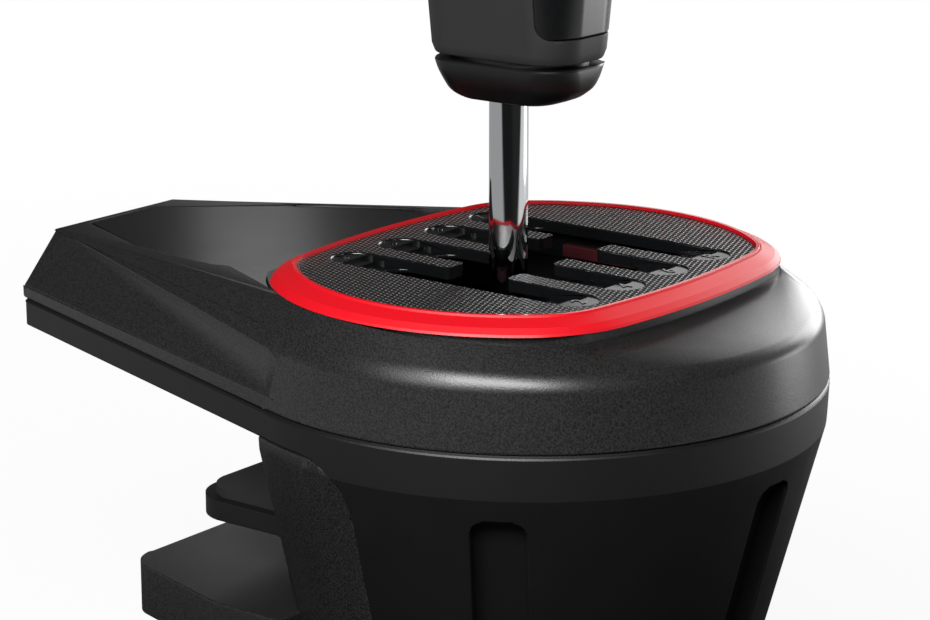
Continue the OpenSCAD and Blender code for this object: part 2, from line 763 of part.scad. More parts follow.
// Steel channel whose two ears carry the select shafts
module pivot_frame() {
    plate_x = 2 * post_pitch + 12;
    ear_x = 26;
    ear_r = ear_x / 2;
    color(steel) translate([lever_x, 0, 0]) difference() {
        union() {
            translate([-plate_x / 2, ear_front, frame_z])
                cube([plate_x, ear_back + ear_t - ear_front, frame_t]);
            for (y = [ear_front, ear_back]) {
                translate([-ear_x / 2, y, frame_z]) cube([ear_x, ear_t, pivot_h - frame_z]);
                translate([0, 0, pivot_h]) bar_y(ear_r, y, y + ear_t);
            }
        }
        for (y = [ear_front, ear_back]) translate([0, 0, pivot_h]) bar_y(bush_r + fix_clear, y - 1, y + ear_t + 1);
        for (sx = [-1, 1], sy = [-1, 1]) translate([sx * post_pitch, sy * post_pitch, frame_z - 1])
            cylinder(r = screw_r + 2 * fix_clear, h = frame_t + 2);
        for (s = [-1, 1]) translate([s * 6, 0, frame_z - 1]) cylinder(r = 1.1 + fix_clear, h = frame_t + 2);
    }
}

bush_r = shaft_d / 2 + 2;

module pivot_screws() {
    color(steel) for (p = pivot_posts) translate([p[0], p[1], frame_z + frame_t]) mirror([0, 0, 1])
        screw_up(screw_r, frame_t + 11, 3, 2.2);
}

module select_bushes() {
    color(brass) translate([lever_x, 0, pivot_h]) for (y = [ear_front, ear_back]) difference() {
        bar_y(bush_r, y, y + ear_t);
        bar_y(shaft_d / 2 + run_clear, y - 1, y + ear_t + 1);
    }
}

spring_in = shaft_d / 2 + 1;
spring_out = spring_in + 1.6;
spring_y0 = ear_front + ear_t + free_gap / 2;
spring_y1 = -cradle_y - 4;

// Torsion spring round the driver-side shaft, drawn as the sleeve that its turns fill
module centring_spring() {
    color(steel) translate([lever_x, 0, pivot_h]) difference() {
        bar_y(spring_out, spring_y0, spring_y1);
        bar_y(spring_in, spring_y0 - 1, spring_y1 + 1);
    }
}

module sensor_board() {
    color(board_green) translate([lever_x, 0, frame_z + frame_t]) difference() {
        translate([-9, -7, 0]) cube([18, 14, board_t]);
        for (s = [-1, 1]) translate([s * 6, 0, -1]) cylinder(r = 1.1 + fix_clear, h = board_t + 2);
    }
}

module hall_sensor() {
    color(gloss_black) translate([lever_x - 2.5, -2, frame_z + frame_t + board_t]) cube([5, 4, 1.4]);
}

module control_board() {
    color(board_green) difference() {
        translate([socket_x - 16, 2, control_z]) cube([22, back_y - spine_t - 4, board_t]);
        for (p = control_at) translate([p[0], p[1], control_z - 1]) cylinder(r = 1.1 + fix_clear, h = board_t + 2);
    }
}

module board_screws() {
    color(steel) {
        for (p = control_at) translate([p[0], p[1], control_z + board_t]) mirror([0, 0, 1])
            screw_up(1.1, board_t + 6, 2.1, 1.4);
        for (s = [-1, 1]) translate([lever_x + s * 6, 0, frame_z + frame_t + board_t]) mirror([0, 0, 1])
            screw_up(1.1, board_t + frame_t, 2.1, 1.4);
    }
}

// Round socket of the data lead in the clamp frame's back wall, standing on the control board
module data_socket() {
    depth = 9;
    color(gloss_black) translate([socket_x, 0, socket_z]) difference() {
        union() {
            bar_y(socket_r, back_y - spine_t - 8, back_y - 0.5);
            translate([-socket_r, back_y - spine_t - 8, control_z + board_t - socket_z])
                cube([2 * socket_r, 7.5, socket_z - control_z - board_t]);
        }
        bar_y(socket_r - 1.5, back_y - 0.5 - depth, back_y + 1);
    }
}

// Gimbal frame that tilts sideways and carries the lever's pin
module cradle() {
    color(charcoal) translate([lever_x, 0, pivot_h]) difference() {
        translate([-cradle_x, -cradle_y, -cradle_z]) cube([2 * cradle_x, 2 * cradle_y, 2 * cradle_z]);
        translate([cradle_wall - cradle_x, cradle_wall - cradle_y, -cradle_z - 1])
            cube([2 * (cradle_x - cradle_wall), 2 * (cradle_y - cradle_wall), 2 * cradle_z + 2]);
        bar_y(shaft_d / 2, -cradle_y - 1, cradle_y + 1);
        bar_x(pin_d / 2 + 2, -cradle_x - 1, cradle_x + 1);
        translate([0, 0, pin_d / 2 + 3.6]) bar_y(1.2 + fix_clear, -cradle_y - 1, cradle_wall - cradle_y + 1);
    }
}

module select_shafts() {
    color(steel) translate([lever_x, 0, pivot_h]) {
        bar_y(shaft_d / 2, cradle_y - cradle_wall, ear_back + ear_t + 1.5);
        bar_y(shaft_d / 2, ear_front - 1.5, cradle_wall - cradle_y);
    }
}

// Peg on the cradle that the centring spring's legs close on
module spring_arm() {
    color(steel) translate([lever_x, 0, pivot_h + pin_d / 2 + 3.6])
        bar_y(1.2, -cradle_y - 3, cradle_wall - cradle_y);
}

module engage_bushes() {
    color(brass) translate([lever_x, 0, pivot_h]) for (s = [-1, 1]) scale([s, 1, 1]) difference() {
        union() {
            bar_x(pin_d / 2 + 2, hub_half + free_gap / 2, cradle_x);
            bar_x(pin_d / 2 + 3.5, hub_half + free_gap / 2, cradle_x - cradle_wall);
        }
        bar_x(pin_d / 2 + run_clear, 0, cradle_x + 1);
    }
}

hub_rise = 26;
hub_top = pivot_h + hub_rise;

// Hub that the rod stands in, with its cross bore for the pin
module lever_hub() {
    color(charcoal) translate([lever_x, 0, 0]) difference() {
        union() {
            translate([0, 0, pivot_h]) bar_x(hub_r, -hub_half, hub_half);
            translate([0, 0, pivot_h]) cylinder(r = hub_r, h = hub_top - pivot_h);
            translate([0, 0, pivot_h - hub_r - 2]) cylinder(r = magnet_r + 1.5, h = 8);
        }
        translate([0, 0, pivot_h]) bar_x(pin_d / 2, -far, far);
        translate([0, 0, pivot_h + pin_d / 2 + 3]) cylinder(d = rod_d, h = far);
        translate([0, 0, pivot_h - hub_r - 3]) cylinder(r = magnet_r, h = magnet_t + 1);
        translate([0, 0, hub_top - 8]) rotate([-90, 0, 0]) translate([0, 0, -far]) cylinder(r = screw_r, h = far);
    }
}

module engage_pin() {
    color(steel) translate([lever_x, 0, pivot_h]) bar_x(pin_d / 2, -cradle_x - 1, cradle_x + 1);
}

module lever_magnet() {
    color(chrome) translate([lever_x, 0, pivot_h - hub_r - 2]) cylinder(r = magnet_r, h = magnet_t);
}

module lever_rod() {
    chamfer = 1;
    color(chrome) translate([lever_x, 0, pivot_h + pin_d / 2 + 3]) {
        cylinder(d = rod_d, h = rod_top - chamfer - pivot_h - pin_d / 2 - 3);
        translate([0, 0, rod_top - chamfer - pivot_h - pin_d / 2 - 3])
            cylinder(d1 = rod_d, d2 = rod_d - 2 * chamfer, h = chamfer);
    }
}

module rod_screw() {
    color(steel) translate([lever_x, 0, hub_top - 8]) bar_y(screw_r, -hub_r + 0.5, -rod_d / 2);
}

// Level section of the knob at height z, grown by g on every side
module knob_slab(z, x, y, r, dy = 0) {
    translate([lever_x, -knob_shift - dy, z - skin]) linear_extrude(skin) round_rect(x, y, r);
}

module knob_collar() {
    color(charcoal) difference() {
        hull() {
            knob_slab(knob_low + skin, knob_x - 12, knob_y - 19, 6, -1.2);
            knob_slab(knob_low + 0.7, knob_x - 10, knob_y - 14, 7, -1.5);
            knob_slab(knob_low + 2, knob_x - 8.4, knob_y - 8, 8, -1);
            knob_slab(knob_low + 4.4, knob_x - 4.4, knob_y - 3.6, 10);
            knob_slab(knob_low + 7, knob_x - 2.2, knob_y - 1.8, 10);
            knob_slab(groove_z - 0.6, knob_x - 1, knob_y - 1, 9);
        }
        translate([lever_x, 0, knob_low - 1]) cylinder(d = rod_d + 2 * fix_clear, h = collar_h + 2);
    }
}

// Grip of the knob: it flares upwards, leans back over the palm and closes in a dome
module grip_form(inset = 0) {
    h = knob_top - groove_z;
    hull() {
        knob_slab(groove_z + 0.6, knob_x - 1.6 - 2 * inset, knob_y - 1.6 - 2 * inset, 9 - inset);
        knob_slab(groove_z + 3, knob_x - 2 * inset, knob_y - 2 * inset, 9.5 - inset);
        knob_slab(groove_z + h * 0.3, knob_x + 3.5 - 2 * inset, knob_y + 3 - 2 * inset, 11 - inset);
        knob_slab(groove_z + h * 0.58, knob_x + 9 - 2 * inset, knob_y + 6 - 2 * inset, 14 - inset, 0.5);
        knob_slab(groove_z + h * 0.78, knob_x + 11 - 2 * inset, knob_y + 6 - 2 * inset, 16 - inset, 1);
        knob_slab(groove_z + h * 0.92 - inset / 2, knob_x + 6 - 2 * inset, knob_y + 1 - 2 * inset, 14 - inset, 1);
        knob_slab(knob_top - inset, knob_x - 4 - 2 * inset, knob_y - 10 - 2 * inset, 9 - inset, 1);
    }
}

panel_wrap = 7;

// Part of the grip that the smooth panel covers: the driver's face and a little of both sides
module panel_region(grow = 0) {
    r = 4;
    y1 = -knob_shift - knob_y / 2 + panel_wrap + grow;
    rotate([90, 0, 90]) translate([0, 0, -far]) linear_extrude(2 * far) {
        translate([y1 - far, panel_low + r - grow]) square([far, panel_high - panel_low - r + 2 * grow]);
        translate([y1 - far - r, panel_low - grow]) square([far, panel_high - panel_low]);
        translate([y1 - r - grow, panel_low + r]) circle(r + grow);
    }
}

panel_skin = 1.6;
cap_r = 11;
cap_t = 1.6;

module knob_grip() {
    color(charcoal) difference() {
        union() {
            difference() {
                grip_form();
                panel_region(0.15);
            }
            intersection() {
                grip_form(panel_skin + 0.1);
                panel_region(2);
            }
        }
        translate([lever_x, 0, groove_z - 1]) cylinder(r = insert_r, h = rod_top - groove_z - 3);
        translate([lever_x, 0, rod_top - 5]) cylinder(d = rod_d + 2 * fix_clear, h = 6);
        translate([lever_x, -knob_shift - 1, knob_top - cap_t]) cylinder(r = cap_r + fix_clear, h = 10);
    }
}

module knob_panel() {
    color(gloss_black) difference() {
        intersection() {
            grip_form();
            panel_region(-0.1);
        }
        grip_form(panel_skin);
    }
}

module knob_insert() {
    color(brass) translate([lever_x, 0, groove_z]) difference() {
        cylinder(r = insert_r, h = rod_top - groove_z - 4);
        translate([0, 0, -1]) cylinder(d = rod_d, h = rod_top);
    }
}

module knob_cap() {
    color(gloss_black) translate([lever_x, -knob_shift - 1, knob_top - cap_t]) cylinder(r = cap_r, h = cap_t + 0.3);
}

// Shoe plate, seen from above
module shoe_outline(inset) {
    translate([0, (shoe_y0 + shoe_y1) / 2])
        round_rect(2 * (shoe_half - inset), shoe_y1 - shoe_y0 - 2 * inset, 12 - inset);
}

module clamp_shoe() {
    color(charcoal) difference() {
        translate([0, 0, shoe_low]) linear_extrude(shoe_t) shoe_outline(0);
        translate([0, screw_y, shoe_low - 1]) cylinder(r = tip_r + run_clear, h = tip_len + 1 + free_gap);
        translate([0, screw_y, shoe_low - 1]) cylinder(r = clip_r + fix_clear, h = 1 + clip_t);
    }
}

clip_r = tip_r + 4;
clip_t = 1.2;

module shoe_pad() {
    color(rubber) translate([0, 0, shoe_low + shoe_t]) linear_extrude(pad_t) shoe_outline(3);
}

// Snap ring in the shoe that holds the screw's necked tip
module shoe_clip() {
    color(steel) translate([0, screw_y, shoe_low]) difference() {
        cylinder(r = clip_r, h = clip_t);
        translate([0, 0, -1]) cylinder(r = neck_r + free_gap, h = clip_t + 2);
    }
}

neck_r = tip_r - 1;

module clamp_screw() {
    clip_top = shoe_low + clip_t + free_gap / 2;
    color(steel) translate([0, screw_y, 0]) {
        translate([0, 0, wheel_top - wheel_h + 3])
            cylinder(d = screw_d, h = shoe_low - free_gap / 2 - wheel_top + wheel_h - 3);
        translate([0, 0, shoe_low - free_gap]) cylinder(r = neck_r, h = clip_top - shoe_low + free_gap);
        translate([0, 0, clip_top]) cylinder(r = tip_r, h = shoe_low + tip_len - clip_top);
    }
}

// Handwheel with six finger hollows and a short hub
module handwheel() {
    lobes = 6;
    color(charcoal) translate([0, screw_y, wheel_top - wheel_h]) difference() {
        union() {
            cylinder(d = wheel_d, h = wheel_h - 4);
            translate([0, 0, wheel_h - 4]) cylinder(d1 = wheel_d - 14, d2 = screw_d + 10, h = 4);
        }
        for (i = [0:lobes - 1]) rotate([0, 0, i * 360 / lobes]) translate([wheel_d / 2 + 5, 0, -1])
            cylinder(r = 9, h = wheel_h);
        translate([0, 0, 3]) cylinder(d = screw_d, h = wheel_h);
        translate([0, 0, wheel_h / 2]) rotate([90, 0, 30]) translate([0, 0, -far]) cylinder(r = 1.5, h = 2 * far);
    }
}

module wheel_pin() {
    color(steel) translate([0, screw_y, wheel_top - wheel_h / 2]) rotate([90, 0, 30]) for (s = [0, 1])
        mirror([0, 0, s]) translate([0, 0, screw_d / 2]) cylinder(r = 1.5, h = 9);
}

upper_casing();
lower_casing();
tongue_panel();
trim_ring();
gate_plate();
gate_tray();
gate_buffers();
gate_screws();
case_screws();
clamp_frame();
frame_screws();
clamp_nut();
seat_pad();
base_plate();
base_inserts();
base_screws();
pivot_frame();
pivot_screws();
select_bushes();
centring_spring();
sensor_board();
hall_sensor();
control_board();
board_screws();
data_socket();
cradle();
select_shafts();
engage_bushes();
spring_arm();
lever_hub();
engage_pin();
lever_magnet();
lever_rod();
rod_screw();
knob_collar();
knob_grip();
knob_panel();
knob_insert();
knob_cap();
clamp_shoe();
shoe_pad();
shoe_clip();
clamp_screw();
handwheel();
wheel_pin();
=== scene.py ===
import json
import math

import bmesh
import bpy
from mathutils import Matrix, Vector


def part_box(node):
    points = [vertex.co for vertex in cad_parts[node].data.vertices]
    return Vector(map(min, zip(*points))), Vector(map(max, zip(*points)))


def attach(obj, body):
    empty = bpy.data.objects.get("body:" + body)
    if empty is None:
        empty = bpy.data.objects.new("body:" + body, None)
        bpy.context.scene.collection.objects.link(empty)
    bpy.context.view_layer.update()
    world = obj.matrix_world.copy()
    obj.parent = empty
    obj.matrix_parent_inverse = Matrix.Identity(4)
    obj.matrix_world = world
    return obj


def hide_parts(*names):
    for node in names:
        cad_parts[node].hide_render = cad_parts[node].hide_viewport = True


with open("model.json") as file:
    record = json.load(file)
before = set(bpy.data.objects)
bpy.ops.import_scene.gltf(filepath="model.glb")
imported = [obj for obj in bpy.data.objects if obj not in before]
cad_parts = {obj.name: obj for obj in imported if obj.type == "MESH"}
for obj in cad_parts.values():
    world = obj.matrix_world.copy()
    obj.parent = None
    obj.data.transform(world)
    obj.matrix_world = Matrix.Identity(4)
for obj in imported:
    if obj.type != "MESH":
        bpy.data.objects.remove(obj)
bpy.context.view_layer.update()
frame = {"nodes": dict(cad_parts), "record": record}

scene = bpy.context.scene
scene.view_settings.view_transform = "Standard"


# Camera: a long lens a little above the gate, at the left of the driver's side, looking across to the tongue.
# Its place and turn were fitted to the gate's columns, the ring and the round edges of the housing.
azimuth, elevation = math.radians(-52.43), math.radians(14.91)
right = Vector((math.cos(azimuth), math.sin(azimuth), 0))
ahead = Vector((-math.sin(azimuth), math.cos(azimuth), 0))
up = Vector((0, 0, 1))
camera = bpy.data.objects.new("camera", bpy.data.cameras.new("camera"))
scene.collection.objects.link(camera)
scene.camera = camera
camera.location = (-0.5768, -0.4222, 0.3358)
camera.rotation_mode = "QUATERNION"
view_line = ahead * math.cos(elevation) - up * math.sin(elevation)
camera.rotation_quaternion = view_line.to_track_quat("-Z", "Y")
camera.data.sensor_width = 36
camera.data.lens = 110.05
camera.data.clip_start = 0.05
camera.data.clip_end = 30


# Studio: white paper that runs out to a white horizon behind, darker cloth on the camera's side, and soft
# boxes. The large one behind at the right makes the edges there shine, and the one over the camera fills in.
def linear(code):
    """sRGB hex code as linear colour."""
    shares = [int(code[i:i + 2], 16) / 255 for i in (1, 3, 5)]
    return (*[c / 12.92 if c <= 0.04045 else ((c + 0.055) / 1.055) ** 2.4 for c in shares], 1.0)


def put(tree, kind, inputs=None, **settings):
    """Adds a node; an input given as a socket is linked, any other is set."""
    node = tree.nodes.new("ShaderNode" + kind)
    for key, value in settings.items():
        setattr(node, key, value)
    for key, value in (inputs or {}).items():
        if isinstance(value, bpy.types.NodeSocket):
            tree.links.new(value, node.inputs[key])
        else:
            node.inputs[key].default_value = value
    return node


def shade_towards(tree, vector, side, start, end, least, most):
    """Value that grows from least to most as a place or a direction goes over to a side."""
    along = put(tree, "VectorMath", {0: vector, 1: side}, operation="DOT_PRODUCT")
    ramp = put(tree, "MapRange", {"Value": along.outputs["Value"], "From Min": start, "From Max": end,
                                  "To Min": least, "To Max": most}, interpolation_type="SMOOTHSTEP")
    return ramp.outputs[0]


middle = Vector((0, 0.02, 0.14))
# each soft box: its way from the middle to the right, ahead and up, its width and height, and its watts
soft_boxes = (
    ("box_right", (0.53, 0.72, 0.22), (0.52, 0.50), 5.0),
    ("box_side", (0.75, 0.28, -0.02), (0.30, 0.22), 0.8),
    ("box_front", (-0.18, -0.72, 0.52), (0.55, 0.28), 9.6),
    ("box_left", (-0.48, -0.60, 0.36), (0.40, 0.30), 1.5),
    ("strip_back", (-0.147, 1.0, 0.30), (0.07, 0.30), 0.045),
    ("strip_lip", (0.12, 1.0, 0.30), (0.12, 0.25), 0.11),
)
for name, way, size, watts in soft_boxes:
    lamp = bpy.data.lights.new(name, "AREA")
    lamp.shape = "RECTANGLE"
    lamp.size, lamp.size_y = size
    lamp.energy = watts
    soft_box = bpy.data.objects.new(name, lamp)
    scene.collection.objects.link(soft_box)
    stand = middle + right * way[0] + ahead * way[1] + up * way[2]
    soft_box.location = stand
    soft_box.rotation_mode = "QUATERNION"
    soft_box.rotation_quaternion = (middle - stand).to_track_quat("-Z", "Y")
    soft_box.visible_camera = False

floor_reach = 8.0
bm = bmesh.new()
bmesh.ops.create_grid(bm, x_segments=1, y_segments=1, size=floor_reach)
floor = bpy.data.objects.new("floor", bpy.data.meshes.new("floor"))
bm.to_mesh(floor.data)
bm.free()
scene.collection.objects.link(floor)
floor_paper = bpy.data.materials.new("white_studio_paper")
floor_paper.use_nodes = True
tree = floor_paper.node_tree
tree.nodes.clear()
seen = put(tree, "LightPath")
place = put(tree, "TexCoord").outputs["Object"]
reach = put(tree, "VectorMath", {0: place}, operation="LENGTH").outputs["Value"]
# the eye sees white paper, with a tenth of the object's shadow near its foot
lit_paper = put(tree, "BsdfDiffuse", {"Color": linear("#f4f4f4")})
white = put(tree, "Emission", {"Color": linear("#ffffff"), "Strength": 1.0})
share = put(tree, "MapRange", {"Value": reach, "From Min": 0.15, "From Max": 0.9,
                               "To Min": 0.9, "To Max": 1.0})
to_eye = put(tree, "MixShader", {0: share.outputs[0], 1: lit_paper.outputs[0], 2: white.outputs[0]})
# polished pieces mirror dark cloth under the object and on the camera's side, and bright paper behind it
clear = put(tree, "MapRange", {"Value": reach, "From Min": 0.2, "From Max": 0.6,
                               "To Min": 0.0, "To Max": 1.0})
back_way = ahead - right * 0.28
back_share = shade_towards(tree, place, back_way, start=-0.65, end=-0.5, least=0.03, most=1)
right_share = shade_towards(tree, place, right, start=0.1, end=0.6, least=0.36, most=0.7)
behind = put(tree, "Math", {0: clear.outputs[0], 1: back_share}, operation="MULTIPLY")
glow = put(tree, "Math", {0: behind.outputs[0], 1: right_share}, operation="MULTIPLY")
mirrored = put(tree, "Emission", {"Color": linear("#ffffff"), "Strength": glow.outputs[0]})
# all other light meets grey cloth, so little comes up from below
cloth = put(tree, "BsdfDiffuse", {"Color": linear("#666666")})
to_gloss = put(tree, "MixShader", {0: seen.outputs["Is Glossy Ray"], 1: cloth.outputs[0],
                                   2: mirrored.outputs[0]})
surface = put(tree, "MixShader", {0: seen.outputs["Is Camera Ray"], 1: to_gloss.outputs[0],
                                  2: to_eye.outputs[0]})
put(tree, "OutputMaterial", {"Surface": surface.outputs[0]})
floor.data.materials.append(floor_paper)

# the surround is white to the eye, and a dim room with a paler side behind at the right to everything else
world = bpy.data.worlds.new("studio_surround")
scene.world = world
world.use_nodes = True
tree = world.node_tree
tree.nodes.clear()
seen = put(tree, "LightPath")
straight = put(tree, "Math", {0: seen.outputs["Is Camera Ray"], 1: seen.outputs["Is Transmission Ray"]},
               operation="MAXIMUM")
lit_side = (ahead * 0.75 + right).normalized()
direction = put(tree, "TexCoord").outputs["Generated"]
room_light = shade_towards(tree, direction, lit_side, start=0.6, end=1.0, least=0.04, most=0.45)
room = put(tree, "Background", {"Color": linear("#ffffff"), "Strength": room_light})
white = put(tree, "Background", {"Color": linear("#ffffff"), "Strength": 1.0})
blend = put(tree, "MixShader", {0: straight.outputs[0], 1: room.outputs[0], 2: white.outputs[0]})
put(tree, "OutputWorld", {"Surface": blend.outputs[0]})


# Upper casing: the moulded ABS shell with the shoulder, the flanks and the tongue, held from below by screws
# through the lower casing. Its shoulder is rounded by 3 mm, and the other outer edges by 1 mm.
def finish_of(name):
    """Starts a material and gives it with its node tree and its shader."""
    material = bpy.data.materials.new(name)
    material.use_nodes = True
    tree = material.node_tree
    tree.nodes.clear()
    shader = put(tree, "BsdfPrincipled")
    put(tree, "OutputMaterial", {"Surface": shader.outputs[0]})
    return material, tree, shader


def moulded_skin(name, dark, light, grain_size, relief, gloss):
    """Skin of a moulding: two close tones in a grain given in metres, roughness between the gloss pair."""
    # the polish changes over patches of about 15 mm, as hands and the mould's flow leave it
    patch_size = 0.015
    material, tree, shader = finish_of(name)
    place = put(tree, "TexCoord").outputs["Object"]
    grain = put(tree, "TexNoise", {"Vector": place, "Scale": 1 / grain_size, "Detail": 2.0, "Roughness": 0.6})
    bump = put(tree, "Bump", {"Strength": 1.0, "Distance": relief, "Height": grain.outputs["Fac"]})
    patch = put(tree, "TexNoise", {"Vector": place, "Scale": 1 / patch_size, "Detail": 3.0})
    shine = put(tree, "MapRange", {"Value": patch.outputs["Fac"], "To Min": gloss[0], "To Max": gloss[1]})
    speck = put(tree, "MapRange", {"Value": grain.outputs["Fac"], "From Min": 0.35, "From Max": 0.65})
    # a mix of colours takes its two colours at sockets 6 and 7, and gives the blend at output 2
    tone = put(tree, "Mix", {0: speck.outputs[0], 6: linear(dark), 7: linear(light)}, data_type="RGBA")
    tree.links.new(tone.outputs[2], shader.inputs["Base Color"])
    tree.links.new(shine.outputs[0], shader.inputs["Roughness"])
    tree.links.new(bump.outputs[0], shader.inputs["Normal"])
    shader.inputs["IOR"].default_value = 1.53
    return material


body_of = {node: body for body, members in frame["record"]["behaviour"]["bodies"].items() for node in members}
slot_of = {part["node"]: part["material_slot"] for part in frame["record"]["subparts"]}


def shown(form, node, *materials, crease=30):
    """Shows a bmesh in place of a solid, riding with its body; edges over crease degrees stay sharp."""
    for face in form.faces:
        face.smooth = True
    mesh = bpy.data.meshes.new(node + "_form")
    form.to_mesh(mesh)
    form.free()
    # a copy of a solid brings the solid's own normals along, which no longer fit its rounded edges
    if "custom_normal" in mesh.attributes:
        mesh.attributes.remove(mesh.attributes["custom_normal"])
    mesh.set_sharp_from_angle(angle=math.radians(crease))
    for material in materials:
        mesh.materials.append(material)
    piece = bpy.data.objects.new(node + "_form", mesh)
    scene.collection.objects.link(piece)
    even = piece.modifiers.new("even_normals", "WEIGHTED_NORMAL")
    even.keep_sharp = True
    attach(piece, body_of[node])
    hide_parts(node)


def merged(node, below=math.inf):
    """Copy of a solid's mesh with its corners joined and, below a level, its flat faces made whole."""
    corner_gap, flat_angle = 6e-5, math.radians(0.7)
    form = bmesh.new()
    form.from_mesh(frame["nodes"][node].data)
    bmesh.ops.remove_doubles(form, verts=form.verts, dist=corner_gap)
    low_verts = [v for v in form.verts if v.co.z < below]
    low_edges = [e for e in form.edges if min(v.co.z for v in e.verts) < below]
    bmesh.ops.dissolve_limit(form, angle_limit=flat_angle, verts=low_verts, edges=low_edges)
    return form


def round_edges(form, width, steps, wanted):
    """Rounds the wanted outer edges by width metres."""
    edges = [e for e in form.edges if e.is_convex and wanted(e)]
    bmesh.ops.bevel(form, geom=edges, offset=width, affect="EDGES", segments=steps, profile=0.5,
                    material=-1, clamp_overlap=False)


def long_sharp(limit, least):
    """Test for edges that bend by more than limit degrees and are longer than least metres."""
    return lambda e: e.calc_face_angle(0) > math.radians(limit) and e.calc_length() > least


def middle_of(edge):
    """Point halfway along an edge."""
    return (edge.verts[0].co + edge.verts[1].co) / 2


# spark-eroded grain of about 0.25 mm, drawn at 0.5 mm so that it shows; it scatters the light, so the
# shell looks dark and dull, with a fine glitter where light grazes it
grained_abs = moulded_skin("grained_black_abs", "#161616", "#2e2e2e", 0.0005, 0.00003, (0.28, 0.33))
ring_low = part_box("trim_ring")[0][2]
shoulder_drop, shoulder_r, edge_r = 0.0088, 0.003, 0.0010
shoulder = ring_low - shoulder_drop
# the solid's two steps under the shoulder, which the rounding takes up
step_drops = (0.0015, 0.006)
# the outer wall lies beyond wall_r from the axis, the tongue beyond tongue_y, and the neck above neck_level
wall_r, tongue_y, neck_level = 0.0735, 0.06, ring_low - 0.002
bent_outside = long_sharp(12, 0.003)


def on_wall(edge, level):
    """Whether an edge runs along the outer wall at a level."""
    level_slack = 0.0006
    return all(abs(v.co.z - level) < level_slack and math.hypot(v.co.x, v.co.y) > wall_r for v in edge.verts)


def outside(edge):
    """Whether an edge is a bent one of the outer wall or the tongue."""
    p = middle_of(edge)
    return bent_outside(edge) and p.z < neck_level and (math.hypot(p.x, p.y) > wall_r or p.y > tongue_y)


# the top keeps its triangles, because a whole face there would close the lever's window
form = merged("upper_casing", ring_low - 0.0001)
steps_below = [e for e in form.edges if any(on_wall(e, shoulder - drop) for drop in step_drops)]
bmesh.ops.dissolve_edges(form, edges=steps_below, use_verts=True)
round_edges(form, shoulder_r, 6, lambda e: on_wall(e, shoulder))
round_edges(form, edge_r, 3, outside)
shown(form, "upper_casing", grained_abs)


# Clamp frame, gimbal cradle and lever hub: stiff mouldings in the same grained ABS as the upper casing. The
# frame is screwed to lugs under the tongue; the cradle and the hub turn on pins inside the housing.
def rounded(node, width, steps=2, limit=28, least=0.0015, below=math.inf):
    """Merged copy of a solid with every long sharp outer edge rounded."""
    form = merged(node, below)
    round_edges(form, width, steps, long_sharp(limit, least))
    return form


# only the frame's square edges are rounded, because its shallow bends would round unevenly
for node, width, limit in (("clamp_frame", 0.0006, 60), ("cradle", 0.0006, 28), ("lever_hub", 0.0004, 28)):
    shown(rounded(node, width, 3, limit), node, grained_abs)


# Lower casing, base plate, handwheel and clamp shoe: black ABS from a finer mould. The casing's rim stands
# out a little as a lip under the upper casing; the plate closes its foot and is screwed on from below.
# The fine mould leaves a grain that hardly shows, so these pieces look even, darker and smoother.
smooth_abs = moulded_skin("fine_moulded_black_abs", "#0f0f0f", "#121212", 0.0004, 0.00001, (0.40, 0.48))
rim_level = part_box("lower_casing")[1][2]
lip_growth, lip_r, pocket_r, round_part_r = 1.0035, 0.0011, 0.0006, 0.0785


def outer_rim(edge):
    """Whether an edge lies on top of a wall's outer side."""
    p = middle_of(edge)
    on_top = all(v.co.z > rim_level - 0.0002 for v in edge.verts)
    faces_out = [f.normal.z < 0.5 and f.normal.x * p.x + f.normal.y * p.y > 0 for f in edge.link_faces]
    return on_top and any(faces_out)


form = merged("lower_casing")
for vert in {v for e in form.edges if outer_rim(e) for v in e.verts}:
    # the lip grows on the round part only, and not along the tongue's tray
    if vert.co.xy.length < round_part_r:
        vert.co.x *= lip_growth
        vert.co.y *= lip_growth
round_edges(form, lip_r, 3, outer_rim)
round_edges(form, pocket_r, 2, long_sharp(28, 0.0015))
# a low crease angle keeps the lip's underside from streaking the wall below it
shown(form, "lower_casing", smooth_abs, crease=9)
for node, width in (("base_plate", 0.0004), ("handwheel", 0.0010), ("clamp_shoe", 0.0006)):
    shown(rounded(node, width), node, smooth_abs)


# Trim ring and stops: the ring is red ABS and lies on the casing's top round the gate plate; its outer facet
# slopes up to a narrow lip. The stops are soft red strips on the tray's two end walls, their red darkened as
# painted shade of the slots.
# The satin skin spreads the light into an even red, and the polished lip mirrors it sharply.
red_abs = moulded_skin("satin_red_abs", "#dc0518", "#e0071b", 0.0006, 0.000004, (0.44, 0.50))
bright_red = moulded_skin("polished_red_abs", "#dc0518", "#e0071b", 0.0006, 0.000002, (0.10, 0.14))
# soft elastomer comes dull from the mould, so the stops only glimmer deep in the slots; their dark red is the
# elastomer's red with the slots' shade painted into it
slot_shaded_red = moulded_skin("red_elastomer_painted_slot_shade", "#340209", "#3c030b", 0.0006, 0.00001, (0.50, 0.60))
plate_low, plate_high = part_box("gate_plate")
plate_r, plate_half = plate_high[0], (plate_high[1] - plate_low[1]) / 2
plate_shift, plate_top = (plate_high[1] + plate_low[1]) / 2, plate_high[2]
side_r, plate_bow = 0.056, 0.230


